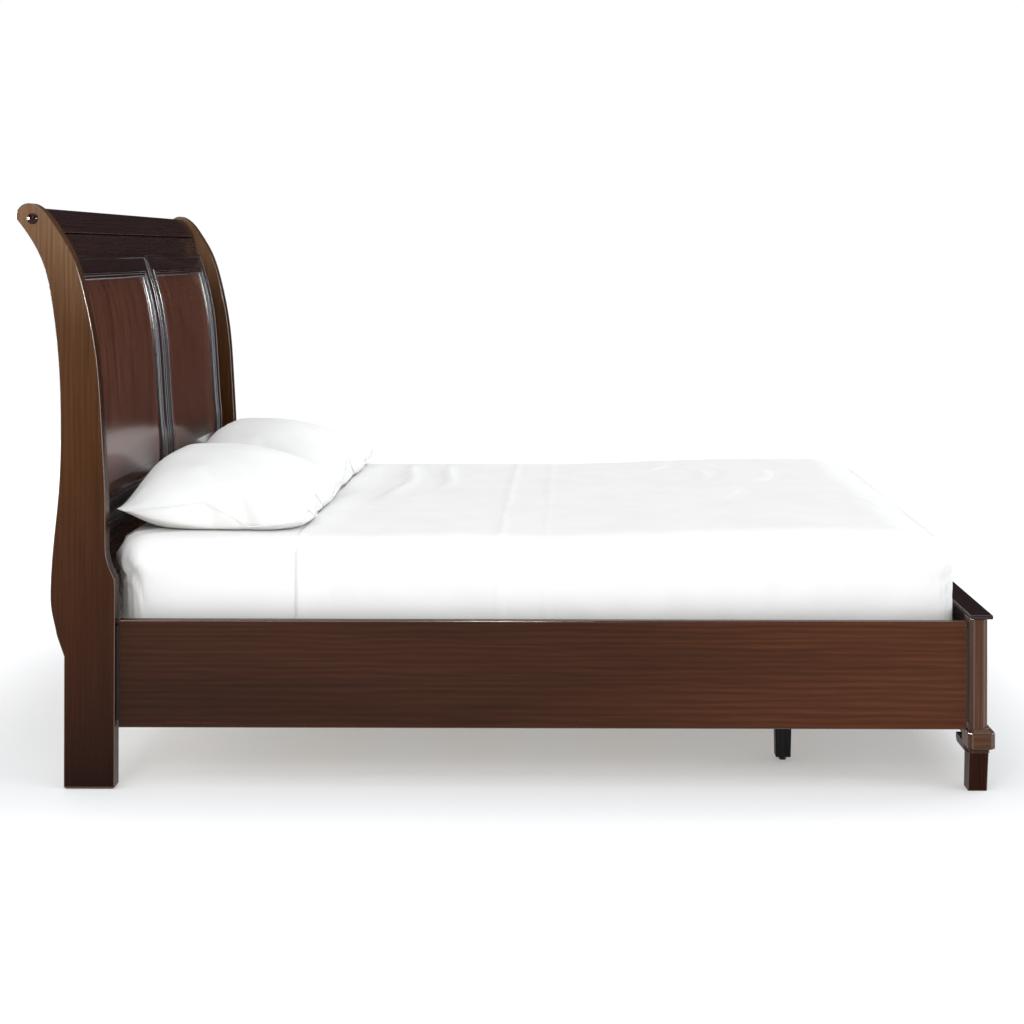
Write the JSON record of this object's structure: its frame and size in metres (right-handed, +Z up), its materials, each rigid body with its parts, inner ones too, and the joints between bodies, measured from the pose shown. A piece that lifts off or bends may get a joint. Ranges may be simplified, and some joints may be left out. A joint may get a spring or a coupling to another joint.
{
  "type": "sleigh bed",
  "caption": "Wooden bed with a tall curved sleigh headboard, straight side rails, a low panelled footboard, mattress and pillows, for one or two sleepers.",
  "frame": {"origin": "on the floor, midway along and across the bed", "axes": "+X from the headboard to the footboard, +Y across the bed to its right side, +Z up"},
  "size_m": [2.3356, 1.707, 1.395],
  "materials": {
    "dark_cherry_wood": "satin",
    "pine": "matte",
    "black_wood": "satin",
    "zinc_steel": "satin",
    "black_steel": "satin",
    "glide_nylon": "matte",
    "button_lacquer": "gloss",
    "foundation_fabric": "matte",
    "mattress_fabric": "matte",
    "pillow_fabric": "matte",
    "sheet_fabric": "matte"
  },
  "bodies": {
    "bed_frame": {"base_collar_left": "dark_cherry_wood", "base_collar_right": "dark_cherry_wood", "crest_screws": "zinc_steel", "foot_bracket_left": "dark_cherry_wood", "foot_bracket_right": "dark_cherry_wood", "footboard_base_moulding": "dark_cherry_wood", "footboard_bottom_rail": "dark_cherry_wood", "footboard_cap": "dark_cherry_wood", "footboard_centre_stile": "dark_cherry_wood", "footboard_leg_left": "dark_cherry_wood", "footboard_leg_right": "dark_cherry_wood", "footboard_panel_left": "dark_cherry_wood", "footboard_panel_right": "dark_cherry_wood", "footboard_post_left": "dark_cherry_wood", "footboard_post_right": "dark_cherry_wood", "footboard_top_rail": "dark_cherry_wood", "frame_dowels": "pine", "headboard_bottom_rail": "dark_cherry_wood", "headboard_centre_stile": "dark_cherry_wood", "headboard_crest_rail": "dark_cherry_wood", "headboard_frieze_rail": "dark_cherry_wood", "headboard_moulding_left": "dark_cherry_wood", "headboard_moulding_right": "dark_cherry_wood", "headboard_panel_left": "dark_cherry_wood", "headboard_panel_right": "dark_cherry_wood", "headboard_post_left": "dark_cherry_wood", "headboard_post_right": "dark_cherry_wood", "headboard_stile_left": "dark_cherry_wood", "headboard_stile_right": "dark_cherry_wood", "hook_plate_pins": "zinc_steel", "ledge_screws": "zinc_steel", "leg_bolts": "zinc_steel", "post_slot_plates": "black_steel", "rail_hook_plates": "black_steel", "scroll_buttons": "button_lacquer", "side_rail_left": "dark_cherry_wood", "side_rail_right": "dark_cherry_wood", "slat_1": "pine", "slat_2": "pine", "slat_3": "pine", "slat_4": "pine", "slat_5": "pine", "slat_6": "pine", "slat_ledge_left": "pine", "slat_ledge_right": "pine", "slat_screws": "zinc_steel", "slot_plate_screws": "zinc_steel", "support_leg_bolts": "zinc_steel", "support_leg_centre_foot": "black_wood", "support_leg_centre_head": "black_wood", "support_leg_left": "black_wood", "support_leg_right": "black_wood"},
    "foundation": {"foundation": "foundation_fabric"},
    "mattress": {"mattress": "mattress_fabric"},
    "pillow_left": {"pillow_left": "pillow_fabric"},
    "pillow_right": {"pillow_right": "pillow_fabric"},
    "glide_left": {"levelling_glide_left": "glide_nylon"},
    "glide_right": {"levelling_glide_right": "glide_nylon"},
    "glide_centre_head": {"levelling_glide_centre_head": "glide_nylon"},
    "glide_centre_foot": {"levelling_glide_centre_foot": "glide_nylon"}
  },
  "joints": [
    {"name": "foundation_lift", "type": "slide", "parent": "bed_frame", "child": "foundation", "axis": [0, 0, 1], "range_m": [0, 0.25]},
    {"name": "mattress_lift", "type": "slide", "parent": "foundation", "child": "mattress", "axis": [0, 0, 1], "range_m": [0, 0.25]},
    {"name": "pillow_left_lift", "type": "slide", "parent": "mattress", "child": "pillow_left", "axis": [0, 0, 1], "range_m": [0, 0.2]},
    {"name": "pillow_right_lift", "type": "slide", "parent": "mattress", "child": "pillow_right", "axis": [0, 0, 1], "range_m": [0, 0.2]},
    {"name": "glide_left_screw", "type": "slide", "parent": "bed_frame", "child": "glide_left", "axis": [0, 0, -1], "range_m": [0, 0.012]},
    {"name": "glide_right_screw", "type": "slide", "parent": "bed_frame", "child": "glide_right", "axis": [0, 0, -1], "range_m": [0, 0.012]},
    {"name": "glide_centre_head_screw", "type": "slide", "parent": "bed_frame", "child": "glide_centre_head", "axis": [0, 0, -1], "range_m": [0, 0.012]},
    {"name": "glide_centre_foot_screw", "type": "slide", "parent": "bed_frame", "child": "glide_centre_foot", "axis": [0, 0, -1], "range_m": [0, 0.012]}
  ]
}
